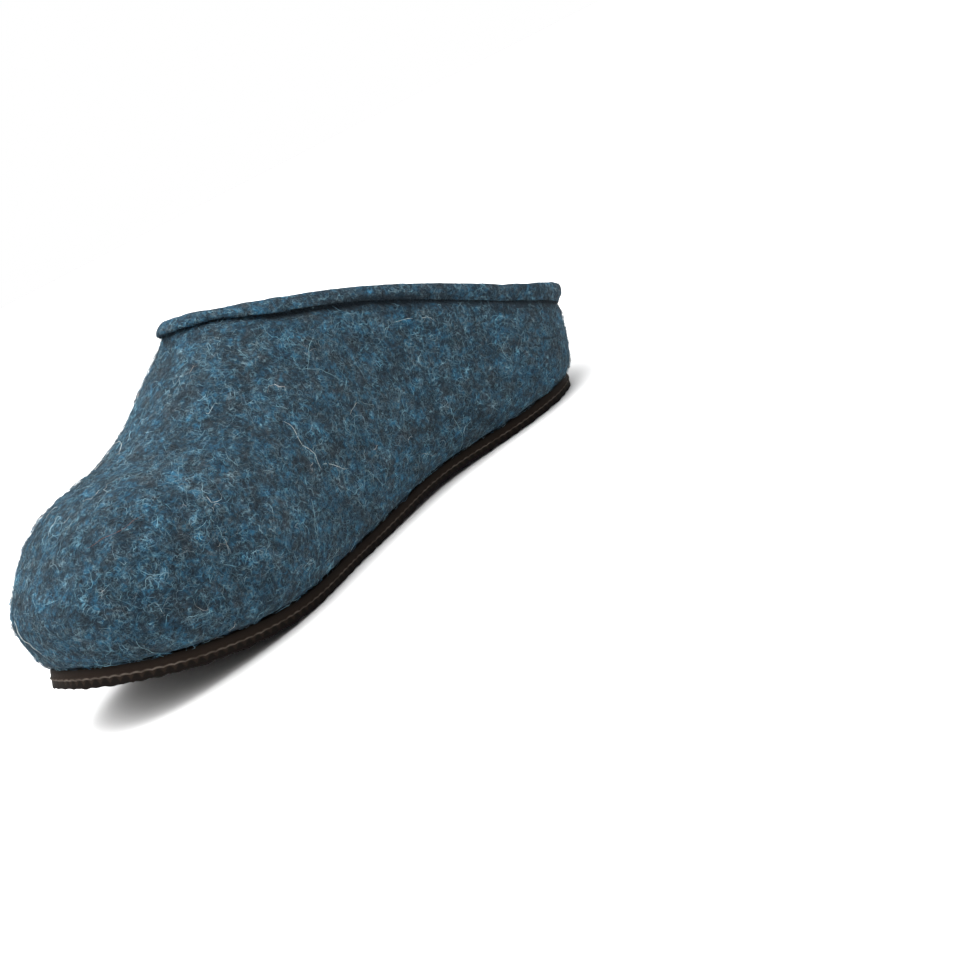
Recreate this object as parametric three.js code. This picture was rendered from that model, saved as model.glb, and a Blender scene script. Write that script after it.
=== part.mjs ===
import * as THREE from "three";

// Felt slipper, the right shoe of a pair, in millimetres.
// The toe points toward -Y, the inner side of the foot is toward +X and the floor is z = 0.

// Main sizes
const soleLength = 262;
const ballWidth = 85;
const instepHeight = 105.5;
const heelHeight = 38;

// Sole
const soleThickness = 6;
const edgeRounding = 0.7;
const toeSpring = 21;
const archRise = 1.5;
const heelBevel = 1.5;
const heelUndercut = 3.5;

// Felt body
const feltThickness = 5;
const feltInset = 1;
const sideOverhang = 9;
const toeOverhang = 2.5;
const heelOverhang = 4.5;
const heelFlare = 7;
const widestHeight = 31;
const marginWidth = 14;
const insideCorner = 3;
const fitGap = 0.3;

// Binding folded over the collar edge
const bindingHeight = 7;
const bindingThickness = 1.5;
const bindingProud = 0.8;
const grooveHeight = 0.9;
const feltEdgeThickness = 3;

// Insole
const insoleThickness = 4;
const insoleClearance = 0.6;

// Round ends, as shares of the sole length
const heelRound = 0.13;
const toeRound = 0.3;
const toeSquareness = 2.3;
const toeBoxRound = 0.125;

// Where the upper closes over the foot, as shares of the sole length
const throatSpine = 0.52;
const heelSpine = 0.17;
const spineSoftness = 14;
const flareReach = 0.22;
const flarePower = 1.4;

// Level stretches and slopes of the underside, as shares of the sole length
const heelFlat = { from: 0.06, to: 0.2 };
const foreFlat = { from: 0.57, to: 0.67 };
const springPower = 1.9;

// Plan of the sole from heel to toe: centre line and half width as shares of the ball width,
// and the height where the felt is widest as a share of the widest height.
const soleSections = [
  { at: 0, centre: -0.023, half: 0.357, widest: 0.78 },
  { at: 0.1, centre: -0.01, half: 0.361, widest: 0.78 },
  { at: 0.17, centre: -0.014, half: 0.378, widest: 0.79 },
  { at: 0.23, centre: -0.03, half: 0.374, widest: 0.82 },
  { at: 0.3, centre: -0.051, half: 0.361, widest: 0.86 },
  { at: 0.37, centre: -0.065, half: 0.354, widest: 0.89 },
  { at: 0.47, centre: -0.054, half: 0.379, widest: 0.95 },
  { at: 0.54, centre: -0.043, half: 0.406, widest: 0.98 },
  { at: 0.61, centre: -0.031, half: 0.44, widest: 1 },
  { at: 0.68, centre: -0.007, half: 0.479, widest: 1 },
  { at: 0.75, centre: 0.017, half: 0.503, widest: 1 },
  { at: 0.8, centre: 0.03, half: 0.51, widest: 1 },
  { at: 0.85, centre: 0.042, half: 0.513, widest: 0.96 },
  { at: 0.9, centre: 0.057, half: 0.525, widest: 0.88 },
  { at: 0.95, centre: 0.071, half: 0.535, widest: 0.76 },
  { at: 1, centre: 0.078, half: 0.548, widest: 0.62 },
];

// Ridge of the foot from heel to toe, as shares of the instep height,
// and how full the crown is between the ridge and the side walls (2 is an ellipse)
const ridgeSections = [
  { at: 0, height: 1.14, fullness: 2.6 },
  { at: 0.15, height: 1.16, fullness: 2.6 },
  { at: 0.3, height: 1.12, fullness: 2.5 },
  { at: 0.4, height: 1.08, fullness: 2.3 },
  { at: 0.5, height: 1.08, fullness: 2.05 },
  { at: 0.598, height: 1, fullness: 1.9 },
  { at: 0.674, height: 0.846, fullness: 1.95 },
  { at: 0.75, height: 0.738, fullness: 2.1 },
  { at: 0.826, height: 0.7, fullness: 2.2 },
  { at: 0.898, height: 0.675, fullness: 2.25 },
  { at: 0.97, height: 0.607, fullness: 2.25 },
  { at: 1.05, height: 0.6, fullness: 2.25 },
];

// Collar edge from heel to throat, as shares of the rise from heel height to instep height
const collarSections = [
  { at: 0, rise: 0 },
  { at: 0.15, rise: 0.265 },
  { at: 0.32, rise: 0.615 },
  { at: 0.47, rise: 0.845 },
  { at: 0.598, rise: 1 },
  { at: 0.74, rise: 1.2 },
];

// Fineness of the faceted surfaces
const columns = 96;
const outerRows = 13;
const innerRows = 8;
const rowSpread = 1.6;
const lowerTurns = [0, 0.1, 0.2, 0.3, 0.4].map((share) => share * Math.PI);

// Natural cubic curve through one column of a table
function curveThrough(table, column) {
  const last = table.length - 1;
  const at = table.map((row) => row.at * soleLength);
  const value = table.map((row) => row[column]);
  const bend = new Array(last + 1).fill(0);
  const carried = new Array(last + 1).fill(0);
  for (let i = 1; i < last; i += 1) {
    const before = at[i] - at[i - 1];
    const after = at[i + 1] - at[i];
    const pivot = 2 * (before + after) - before * carried[i - 1];
    const slopeChange = (value[i + 1] - value[i]) / after - (value[i] - value[i - 1]) / before;
    carried[i] = after / pivot;
    bend[i] = (6 * slopeChange - before * bend[i - 1]) / pivot;
  }
  for (let i = last - 1; i > 0; i -= 1) {
    bend[i] -= carried[i] * bend[i + 1];
  }
  return (along) => {
    const place = Math.min(Math.max(along, at[0]), at[last]);
    let i = 0;
    while (i < last - 1 && place > at[i + 1]) {
      i += 1;
    }
    const span = at[i + 1] - at[i];
    const a = (at[i + 1] - place) / span;
    const b = 1 - a;
    const sag = (a ** 3 - a) * bend[i] + (b ** 3 - b) * bend[i + 1];
    return a * value[i] + b * value[i + 1] + (sag * span * span) / 6;
  };
}

const centreShare = curveThrough(soleSections, "centre");
const halfShare = curveThrough(soleSections, "half");
const widestShare = curveThrough(soleSections, "widest");
const ridgeShare = curveThrough(ridgeSections, "height");
const crownFullness = curveThrough(ridgeSections, "fullness");
const collarShare = curveThrough(collarSections, "rise");

// Rounded closing of a form at one of its ends: 0 at the end, 1 past the span
function closing(distance, span, squareness) {
  const share = Math.min(Math.max(distance / span, 0), 1);
  return (1 - (1 - share) ** squareness) ** (1 / squareness);
}

function heelGrowth(growth) {
  return (growth * heelOverhang) / sideOverhang;
}

function toeGrowth(growth) {
  return (growth * toeOverhang) / sideOverhang;
}

function centreAt(along) {
  return centreShare(along) * ballWidth;
}

// Half width of the plan at a place along the sole, grown outward from the sole's edge
function halfWidthAt(along, growth) {
  const back = heelGrowth(growth);
  const front = toeGrowth(growth);
  const heelEnd = closing(along + back, heelRound * soleLength + back, 2);
  const toeEnd = closing(soleLength + front - along, toeRound * soleLength + front, toeSquareness);
  return (halfShare(along) * ballWidth + growth) * heelEnd * toeEnd;
}

// Height of the sole's underside above the floor
function undersideAt(along) {
  const share = along / soleLength;
  if (share < heelFlat.from) {
    return heelBevel * ((heelFlat.from - share) / heelFlat.from) ** 2;
  }
  if (share > heelFlat.to && share < foreFlat.from) {
    const arch = (share - heelFlat.to) / (foreFlat.from - heelFlat.to);
    return archRise * Math.sin(Math.PI * arch) ** 2;
  }
  if (share > foreFlat.to) {
    return toeSpring * ((share - foreFlat.to) / (1 - foreFlat.to)) ** springPower;
  }
  return 0;
}

// Forward lean of the sole's side wall, in mm for each mm below its top
function wallLeanAt(along) {
  const share = along / soleLength;
  if (share < heelFlat.from) {
    return (heelUndercut / soleThickness) * ((heelFlat.from - share) / heelFlat.from);
  }
  if (share > foreFlat.to) {
    const steepest = (toeSpring * springPower) / ((1 - foreFlat.to) * soleLength);
    return steepest * ((share - foreFlat.to) / (1 - foreFlat.to)) ** (springPower - 1);
  }
  return 0;
}

function collarHeightAt(along) {
  return heelHeight + collarShare(along) * (instepHeight - heelHeight);
}

// Height of the last's upper side, a rounded crown between the two side walls
function crownHeightAt(x, along) {
  const front = soleLength + toeOverhang - along;
  const heelEnd = closing(along + heelOverhang, heelRound * soleLength + heelOverhang, 2);
  const toeEnd = closing(front, toeBoxRound * soleLength + toeOverhang, 2);
  const half = Math.max(halfWidthAt(along, sideOverhang), 1e-6);
  const offset = Math.min(Math.abs(x - centreAt(along)) / half, 1);
  const wall = widestShare(along) * widestHeight;
  const rise = ridgeShare(along) * instepHeight - wall;
  const fullness = crownFullness(along);
  const crown = (1 - offset ** fullness) ** (1 / fullness);
  return undersideAt(along) + wall + (rise - undersideAt(along)) * heelEnd * toeEnd * crown;
}

// Point of the plan outline; the angle runs from the toe over the inner side to the heel and back
function outlinePoint(angle, growth) {
  const front = soleLength + toeGrowth(growth);
  const along = front - ((1 - Math.cos(angle)) / 2) * (front + heelGrowth(growth));
  const side = Math.sin(angle) >= 0 ? 1 : -1;
  return new THREE.Vector2(centreAt(along) + side * halfWidthAt(along, growth), along);
}

// Unit vector pointing straight out of the plan outline
function outlineNormal(angle, growth) {
  const step = 0.02;
  const before = outlinePoint(angle - step, growth);
  const after = outlinePoint(angle + step, growth);
  return new THREE.Vector2(before.y - after.y, after.x - before.x).normalize();
}

function pointAbove(x, along, height) {
  return new THREE.Vector3(x, soleLength / 2 - along, height);
}

function angleOf(column) {
  return (2 * Math.PI * column) / columns;
}

function ringOf(makePoint) {
  return Array.from({ length: columns }, (unused, column) => makePoint(column));
}

// Point of the rounded lower felt: turn 0 lies on the sole, a quarter turn is the widest level
function lowerPoint(column, turn, inward, lift) {
  const angle = angleOf(column);
  const growth = (sideOverhang + feltInset) * Math.sin(turn) - feltInset;
  const edge = outlinePoint(angle, growth).addScaledVector(outlineNormal(angle, growth), -inward);
  const base = soleThickness + fitGap;
  const climb = (widestShare(edge.y) * widestHeight - base) * (1 - Math.cos(turn));
  return pointAbove(edge.x, edge.y, undersideAt(edge.y) + base + climb + lift);
}

// Inner face of the rounded lower felt, set in by an extra clearance
function lowerInnerPoint(column, turn, clearance, lift) {
  const inward = insideCorner + (feltThickness - insideCorner) * Math.sin(turn) + clearance;
  return lowerPoint(column, turn, inward, feltThickness * Math.cos(turn) + lift);
}

// Smooth clamp of a place along the sole to the stretch under the collar opening
function spinePlace(along) {
  const front = throatSpine * soleLength;
  const back = heelSpine * soleLength;
  const soft = spineSoftness;
  const raised = back + soft * Math.log1p(Math.exp((along - back) / soft));
  return front - soft * Math.log1p(Math.exp((front - raised) / soft));
}

// Line of one column over the crown, from the widest level toward the spine
function crownPath(column) {
  const start = outlinePoint(angleOf(column), sideOverhang);
  const end = spinePlace(start.y);
  const middle = centreAt(end);
  return (share) => {
    const reach = share * share;
    const x = start.x + (middle - start.x) * reach;
    const along = start.y + (end - start.y) * reach;
    return { x, along, over: crownHeightAt(x, along) - collarHeightAt(along) };
  };
}

// Share of the path at which it reaches the collar edge
function collarShareOf(path) {
  const steps = 240;
  let inside = 0.04;
  let step = 10;
  while (path(step / steps).over < 0 && step < steps) {
    inside = step / steps;
    step += 1;
  }
  let outside = step / steps;
  for (let i = 0; i < 24; i += 1) {
    const middle = (inside + outside) / 2;
    if (path(middle).over < 0) {
      inside = middle;
    } else {
      outside = middle;
    }
  }
  return (inside + outside) / 2;
}

// Evenly spaced points of one column from the widest level to the shoulder, then the collar edge
function crownColumn(column) {
  const path = crownPath(column);
  const end = collarShareOf(path);
  const fine = 160;
  const points = [];
  const lengths = [0];
  for (let i = 0; i <= fine; i += 1) {
    const place = path((end * i) / fine);
    points.push(pointAbove(place.x, place.along, crownHeightAt(place.x, place.along)));
    if (i > 0) {
      lengths.push(lengths[i - 1] + points[i].distanceTo(points[i - 1]));
    }
  }
  const nearHeel = Math.max(flareReach - path(0).along / soleLength, 0) / flareReach;
  points.forEach((point, row) => {
    point.y += heelFlare * nearHeel ** 1.5 * (lengths[row] / lengths[fine]) ** flarePower;
  });
  const shoulder = lengths[fine] - bindingHeight - grooveHeight;
  const kept = [];
  let i = 1;
  for (let row = 0; row < outerRows; row += 1) {
    const wanted = shoulder * (row / (outerRows - 1)) ** rowSpread;
    while (i < fine && lengths[i] < wanted) {
      i += 1;
    }
    const share = (wanted - lengths[i - 1]) / (lengths[i] - lengths[i - 1]);
    kept.push(points[i - 1].clone().lerp(points[i], share));
  }
  kept.push(points[fine]);
  return kept;
}

function neighbours(ring, column) {
  const after = ring[(column + 1) % columns];
  const before = ring[(column + columns - 1) % columns];
  return after.clone().sub(before);
}

// Direction straight out of the felt at each point of a ring between two others
function ringNormals(below, ring, above) {
  return ring.map((point, column) => {
    const upward = above[column].clone().sub(below[column]);
    return neighbours(ring, column).cross(upward).normalize();
  });
}

function offsetRing(ring, normals, distance) {
  return ring.map((point, column) => point.clone().addScaledVector(normals[column], distance));
}

// Frame of the collar edge at each column: shoulder point, upward length and outward direction
function collarFrames(shoulderRing, edgeRing) {
  return shoulderRing.map((shoulder, column) => {
    const rise = edgeRing[column].clone().sub(shoulder);
    const up = rise.clone().normalize();
    const out = neighbours(edgeRing, column).cross(up).normalize();
    return { shoulder, up, out, length: rise.length() };
  });
}

// Ring at a distance out of the collar and a height above the shoulder or below the edge
function frameRing(frames, out, above, below) {
  return frames.map((frame) => {
    const height = below === undefined ? above : frame.length - below;
    const point = frame.shoulder.clone().addScaledVector(frame.out, out);
    return point.addScaledVector(frame.up, height);
  });
}

// Joins neighbouring rings with triangles
function addBands(index, rings, closed) {
  const count = closed ? rings.length : rings.length - 1;
  for (let row = 0; row < count; row += 1) {
    const low = row * columns;
    const high = ((row + 1) % rings.length) * columns;
    for (let column = 0; column < columns; column += 1) {
      const next = (column + 1) % columns;
      index.push(low + column, low + next, high + next);
      index.push(low + column, high + next, high + column);
    }
  }
}

// Fills a ring with rungs running from the inner side of the foot to the outer side
function addCap(index, row, facingUp) {
  const first = row * columns;
  for (let column = 0; column < columns / 2; column += 1) {
    const a = first + column;
    const b = first + column + 1;
    const c = first + columns - column - 1;
    const d = first + ((columns - column) % columns);
    const faces = [];
    if (b !== c) {
      faces.push([a, b, c]);
    }
    if (a !== d) {
      faces.push([a, c, d]);
    }
    faces.forEach((face) => index.push(...(facingUp ? face : face.reverse())));
  }
}

function meshOf(name, rings, index, colour, roughness) {
  const geometry = new THREE.BufferGeometry();
  const positions = rings.flat().flatMap((point) => point.toArray());
  geometry.setAttribute("position", new THREE.Float32BufferAttribute(positions, 3));
  geometry.setIndex(index);
  geometry.computeVertexNormals();
  const material = new THREE.MeshStandardMaterial({ color: colour, roughness, metalness: 0 });
  const mesh = new THREE.Mesh(geometry, material);
  mesh.name = name;
  return mesh;
}

// Closed ring body, such as the felt or the binding
function ringBody(name, rings, colour, roughness) {
  const index = [];
  addBands(index, rings, true);
  return meshOf(name, rings, index, colour, roughness);
}

// Body with a filled bottom and top, such as the sole
function filledBody(name, rings, colour, roughness) {
  const index = [];
  addBands(index, rings, false);
  addCap(index, 0, false);
  addCap(index, rings.length - 1, true);
  return meshOf(name, rings, index, colour, roughness);
}

// Flat rubber sole with its edges slightly rounded
function makeOutsole() {
  const levels = [
    { inward: edgeRounding, height: 0 },
    { inward: 0, height: edgeRounding },
    { inward: 0, height: soleThickness - edgeRounding },
    { inward: edgeRounding, height: soleThickness },
  ];
  const rings = levels.map((level) =>
    ringOf((column) => {
      const edge = outlinePoint(angleOf(column), -level.inward);
      const along = edge.y + wallLeanAt(edge.y) * (soleThickness - level.height);
      return pointAbove(edge.x, along, undersideAt(along) + level.height);
    }),
  );
  return filledBody("outsole", rings, "#3a302c", 0.8);
}

// Hollow felt body: margin on the sole, rounded side, crown, thinned collar edge and inner face
function makeUpper(crown, frames) {
  const widest = crown[0];
  const setBack = (feltThickness - feltEdgeThickness) / 2;
  const edgeTop = bindingThickness + fitGap;
  const marginInner = ringOf((column) => lowerPoint(column, 0, marginWidth, 0));
  const marginMiddle = ringOf((column) => lowerPoint(column, 0, marginWidth / 2, 0));
  const lowerOuter = lowerTurns.map((turn) => ringOf((column) => lowerPoint(column, turn, 0, 0)));
  const collarEdge = [
    frameRing(frames, -setBack, 0),
    frameRing(frames, -setBack, 0, edgeTop),
    frameRing(frames, setBack - feltThickness, 0, edgeTop),
    frameRing(frames, setBack - feltThickness, 0),
    frameRing(frames, -feltThickness, 0),
  ];
  const inner = [];
  for (let i = innerRows - 1; i >= 0; i -= 1) {
    const row = Math.round((i * (outerRows - 2)) / (innerRows - 1));
    const below = row === 0 ? lowerOuter[lowerOuter.length - 1] : crown[row - 1];
    const normals = ringNormals(below, crown[row], crown[row + 1]);
    inner.push(offsetRing(crown[row], normals, -feltThickness));
  }
  const lowerInner = [...lowerTurns].reverse().map((turn) =>
    ringOf((column) => lowerInnerPoint(column, turn, 0, 0)),
  );
  const marginTop = ringOf((column) => lowerPoint(column, 0, marginWidth, feltThickness));
  const rings = [
    marginInner,
    marginMiddle,
    ...lowerOuter,
    widest,
    ...crown.slice(1, outerRows),
    ...collarEdge,
    ...inner,
    ...lowerInner,
    marginTop,
  ];
  return ringBody("upper", rings, "#3b5165", 0.95);
}

// Strip folded over the thinned felt edge, with a rounded top
function makeBinding(frames) {
  const setBack = (feltThickness - feltEdgeThickness) / 2;
  const outer = bindingProud;
  const inner = -feltThickness - bindingProud;
  const slotOuter = fitGap - setBack;
  const slotInner = setBack - feltThickness - fitGap;
  const rounding = bindingThickness;
  const rings = [
    frameRing(frames, outer, grooveHeight),
    frameRing(frames, outer, 0, rounding),
    frameRing(frames, outer - 0.3 * rounding, 0, 0.3 * rounding),
    frameRing(frames, outer - rounding, 0, 0),
    frameRing(frames, inner + rounding, 0, 0),
    frameRing(frames, inner + 0.3 * rounding, 0, 0.3 * rounding),
    frameRing(frames, inner, 0, rounding),
    frameRing(frames, inner, grooveHeight),
    frameRing(frames, slotInner, grooveHeight),
    frameRing(frames, slotInner, 0, bindingThickness),
    frameRing(frames, slotOuter, 0, bindingThickness),
    frameRing(frames, slotOuter, grooveHeight),
  ];
  return ringBody("collar_binding", rings, "#34495b", 0.95);
}

// Turn at which the inner face has climbed a height above the margin's top
function turnAtHeight(column, height) {
  const along = outlinePoint(angleOf(column), 0).y;
  const reach = widestShare(along) * widestHeight - soleThickness - fitGap - feltThickness;
  return Math.acos(1 - height / reach);
}

// Footbed lying on the felt margin, its middle filling the opening down to the sole
function makeInsole() {
  const inward = marginWidth + insoleClearance;
  const heights = [0, insoleThickness / 4, (2 * insoleThickness) / 3, insoleThickness];
  const rings = [
    ringOf((column) => lowerPoint(column, 0, inward, 0)),
    ringOf((column) => lowerPoint(column, 0, inward, feltThickness + fitGap)),
    ...heights.map((height) =>
      ringOf((column) => {
        const turn = turnAtHeight(column, height);
        return lowerInnerPoint(column, turn, insoleClearance, fitGap);
      }),
    ),
  ];
  return filledBody("insole", rings, "#465766", 0.95);
}

const crownColumns = ringOf(crownColumn);
const crownRings = crownColumns[0].map((unused, row) => crownColumns.map((points) => points[row]));
const edgeFrames = collarFrames(crownRings[outerRows - 1], crownRings[outerRows]);

const group = new THREE.Group();
group.name = "felt_slipper";
group.add(makeOutsole());
group.add(makeUpper(crownRings, edgeFrames));
group.add(makeBinding(edgeFrames));
group.add(makeInsole());

// The middle of the whole shoe's box stands over the origin
const box = new THREE.Box3().setFromObject(group);
const middle = box.getCenter(new THREE.Vector3());
group.children.forEach((mesh) => mesh.geometry.translate(-middle.x, -middle.y, -box.min.z));

export default group;
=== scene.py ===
"""Felt slipper, the right shoe of a pair: fulled wool upper, bound collar, footbed and rubber sole.

The toe points toward -Y, the inner side of the foot toward +X and the floor is z = 0.
Sizes are in millimetres, and meshes are turned into metres when they are made.
"""

import math
from functools import partialmethod

import bmesh
import bpy
import numpy as np
from mathutils import Matrix, Vector, noise
from mathutils.bvhtree import BVHTree
from mathutils.geometry import delaunay_2d_cdt


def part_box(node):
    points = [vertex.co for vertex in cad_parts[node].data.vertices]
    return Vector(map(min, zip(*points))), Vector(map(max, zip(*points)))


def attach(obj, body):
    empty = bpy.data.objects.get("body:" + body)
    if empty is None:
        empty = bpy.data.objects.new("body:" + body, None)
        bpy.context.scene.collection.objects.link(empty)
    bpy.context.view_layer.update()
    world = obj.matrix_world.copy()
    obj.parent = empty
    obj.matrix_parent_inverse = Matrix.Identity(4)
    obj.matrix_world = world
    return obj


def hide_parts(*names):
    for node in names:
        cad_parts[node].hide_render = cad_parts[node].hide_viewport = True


bl_info = {
    "name": "Felt Slipper",
    "version": (1, 0, 0),
    "blender": (4, 5, 0),
    "location": "View3D > Sidebar > Slipper",
    "description": "Builds the felt, fibres, binding, footbed and rubber sole of a felt slipper",
    "category": "Add Mesh",
}

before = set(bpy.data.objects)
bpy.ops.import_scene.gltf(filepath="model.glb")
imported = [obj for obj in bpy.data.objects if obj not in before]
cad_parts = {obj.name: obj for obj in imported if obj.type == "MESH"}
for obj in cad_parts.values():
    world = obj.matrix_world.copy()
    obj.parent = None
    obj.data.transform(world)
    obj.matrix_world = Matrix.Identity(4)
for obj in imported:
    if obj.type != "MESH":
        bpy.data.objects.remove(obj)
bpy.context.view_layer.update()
MM = 0.001

# Sole, as in the part's own source
SOLE_LENGTH = 262
BALL_WIDTH = 85
SOLE_THICKNESS = 6
TOE_SPRING = 21
ARCH_RISE = 1.5
HEEL_BEVEL = 1.5
HEEL_UNDERCUT = 3.5
HEEL_ROUND = 0.13
TOE_ROUND = 0.3
TOE_SQUARENESS = 2.3
HEEL_FLAT = (0.06, 0.2)
FORE_FLAT = (0.57, 0.67)
SPRING_POWER = 1.9

# Plan of the sole from heel to toe: place along it, centre line and half width
SOLE_SECTIONS = (
    (0, -0.023, 0.357),
    (0.1, -0.01, 0.361),
    (0.17, -0.014, 0.378),
    (0.23, -0.03, 0.374),
    (0.3, -0.051, 0.361),
    (0.37, -0.065, 0.354),
    (0.47, -0.054, 0.379),
    (0.54, -0.043, 0.406),
    (0.61, -0.031, 0.44),
    (0.68, -0.007, 0.479),
    (0.75, 0.017, 0.503),
    (0.8, 0.03, 0.51),
    (0.85, 0.042, 0.513),
    (0.9, 0.057, 0.525),
    (0.95, 0.071, 0.535),
    (1, 0.078, 0.548),
)

# Side wall of the sole from the tread up: distance out of the outline and height
SOLE_WALL = (
    (0, 2.65),
    (0.25, 2.8),
    (0.45, 3),
    (0.3, 3.25),
    (0.02, 3.6),
    (0, 4.1),
    (0, 4.8),
    (-0.06, 5.4),
    (-0.3, 5.85),
    (-0.7, 6),
)
SOLE_COLUMNS = 900
TREAD_MARGIN = 0.5
RIM_HEIGHT = 3.0
EDGE_TREAD = 0.3
SCALLOP = 3.3
TOE_DEEPENING = 1.6
TREAD_STEPS = 4
TILE_MERGE = 0.00002
SHEET_WIDTH = 1.3 * BALL_WIDTH
SHEET_LENGTH = 1.05 * SOLE_LENGTH
PLAN_MERGE = 1e-4
SOLE_SHARP = math.radians(32)

# Heights on the side of the sole: painted highlight in a wavy line, painted shade in the hollows under it
# and painted shade of the felt
HIGHLIGHT_WAVE = 0.35
HIGHLIGHT_LEVEL = RIM_HEIGHT - 0.25
HIGHLIGHT_FADE = (0.38, 0.05)
HOLLOW_ARCH = 1.6
HOLLOW_LEVEL = RIM_HEIGHT - 1.9
HOLLOW_FADE = (-0.15, 0.25)
FELT_SHADE = (3.4, 5.2)
WALL_START = 0.001

# Groove under the binding, where the felt is pressed in and darkened as painted shade
GROOVE_WIDTH = 3.1
GROOVE_PRESS = 0.8
GROOVE_BARE = 0.6
THROAT_GROOVE = 0.35

# Binding: half its height, thickness over which it is shaped, roll and the reach of its shade
BINDING_STATIONS = 90
BINDING_HALF = 4.2
BINDING_WALL = 2
BINDING_PUFF = 1.0
SHADE_REACH = 0.85

# Size, seed and height of the lumps of the binding
BINDING_LUMPS = ((9, 3, 0.35), (3, 4, 0.15))

# Collar eased a little toward the photo: out round the heel and back at the throat
HEEL_HEART = (-3.0, 90.0)
HEEL_EASE = 1.8
THROAT_EASE = 4.4
THROAT_RAISE = 1.2
THROAT_LEVEL = 96.0
THROAT_SPREAD = 7

# Spans along the shoe (y) and up (z) over which the collar changes
SIDE_FRONT = (-30, -5)
SIDE_BACK = (70, 30)
HEEL_EASE_Y = (85, 120)
HEEL_EASE_Z = (14, 32)
THROAT_EASE_Y = (-2, -28)
THROAT_RAISE_Y = (-20, -32)
THROAT_RAISE_Z = (80, 94)

# Making of smooth pieces from the solids
MERGE_DISTANCE = 0.002
QUAD_ANGLE = math.radians(40)
SUBDIVISIONS = 2

# Felt: size of its lumps, where they fade toward the sole and where loose edge fibres grow
SEED_STEPS = (17.3, 5.9, 11.1)
BROAD_LUMP = 17
FINE_LUMP = 4.2
SETTLE_START = 3
SETTLE_SPAN = 6
EDGE_BAND = 3.5

# Which faces of the upper lie outside: middle line of the foot and how far down a face may look
HEART_REACH = 85
HEART_LEVEL = 34.0
UNDERSIDE_FACING = -0.93
FOOTBED_FACING = 0.3

# Fibres: clumps, waves over the felt, and wools that no setting gives
CLUMP_SCALE = 260.0
CLUMP_RANGE = (0.38, 0.64)
CLUMP_MOST = 2.0
WAVE_SCALE = 350.0
MIST_SHARE = 0.55
RUST = (0.16, 0.075, 0.06)
BROWN_TINT = (1.2, 0.95, 0.9)
BLUE_TINT = (0.7, 1.01, 1.15)

# Camera of the photograph, standing still over the floor
CAMERA_PLACE = (0.4401, -0.2889, 0.1382)
CAMERA_RIGHT = (0.65027, 0.61968, -0.43949)
CAMERA_UP = (0.09791, 0.50532, 0.85736)
CAMERA_BACK = (0.75337, -0.60054, 0.26792)
CAMERA_LENS = 51.0

# Stage, in metres
SKY_BRIGHT_SIDE = (0.0, -0.16, 0.99)
GLOW_POWER = 3.0
KEY_PLACE = (0.2, -0.2, 0.95)
KEY_TARGET = (0, 0, 0.05)
KEY_SIZE = 0.7
FLOOR_HALF = 40.0


def colour_prop(name, description, default):
    return bpy.props.FloatVectorProperty(
        name=name, description=description, default=default, size=3, min=0, max=1, subtype="COLOR"
    )


def number_prop(name, description, default, **more):
    return bpy.props.FloatProperty(name=name, description=description, default=default, min=0, **more)


def length_prop(name, description, default):
    return number_prop(name, description, default, unit="LENGTH", precision=5)


class SlipperFeltSettings(bpy.types.PropertyGroup):
    deep: colour_prop("Deep blue", "Darkest wool of the mottled felt", (0.003, 0.0095, 0.017))
    steel: colour_prop("Steel blue", "Main wool of the mottled felt", (0.016, 0.066, 0.106))
    bright: colour_prop("Bright blue", "Clearest blue tufts in the felt", (0.02, 0.084, 0.138))
    grey: colour_prop("Grey wool", "Brownish grey flecks in the felt", (0.037, 0.051, 0.06))
    pale: colour_prop("Pale fibre", "Curly fibres that catch the light", (0.18, 0.325, 0.38))
    white: colour_prop("White fibre", "Long coarse hairs", (0.5, 0.56, 0.55))
    relief: length_prop("Relief", "Height of the soft lumps of the felt", 0.0005)
    fine_relief: length_prop("Fine relief", "Height of the small lumps of the felt", 0.00032)


class SlipperFibreSettings(bpy.types.PropertyGroup):
    nap_density: number_prop("Nap density", "Short fibres per square metre", 86000)
    fuzz_density: number_prop("Fuzz density", "Finest fibres per square metre", 90000)
    curl_density: number_prop("Curl density", "Curly fibres per square metre", 62000)
    long_density: number_prop("Hair density", "Long pale hairs per square metre", 800)
    nap_length: length_prop("Nap length", "Length of a short fibre", 0.0046)
    fuzz_length: length_prop("Fuzz length", "Length of the finest fibres", 0.0036)
    curl_length: length_prop("Curl length", "Length of a curly fibre", 0.0095)
    long_length: length_prop("Hair length", "Length of a long hair", 0.017)
    thickness: length_prop("Thickness", "Diameter of a fibre", 0.00013)
    seed: bpy.props.IntProperty(name="Seed", description="Changes the fall of the fibres", default=7)


class SlipperSoleSettings(bpy.types.PropertyGroup):
    rubber: colour_prop("Rubber", "Colour of the sole", (0.0125, 0.008, 0.0055))
    # Colour of the painted highlight in the thin wavy line along the lower edge of the sole's side wall
    edge_highlight: colour_prop("Edge highlight", "Colour of the painted highlight along the edge", (0.13, 0.108, 0.09))
    tread_pitch: length_prop("Tread pitch", "Distance between two tread cells", 0.0055)
    tread_depth: length_prop("Tread depth", "Height of a tread cell", 0.0026)


class SlipperStageSettings(bpy.types.PropertyGroup):
    floor: colour_prop("Floor", "Colour of the floor and backdrop", (0.68, 0.68, 0.68))
    key_power: number_prop("Key light", "Power of the large soft light", 5.0, unit="POWER")
    sky: number_prop("Sky", "Strength of the white light from all sides", 0.13)
    sky_side: number_prop("Sky side", "Extra strength of the white light above the toe", 7.2)


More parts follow.
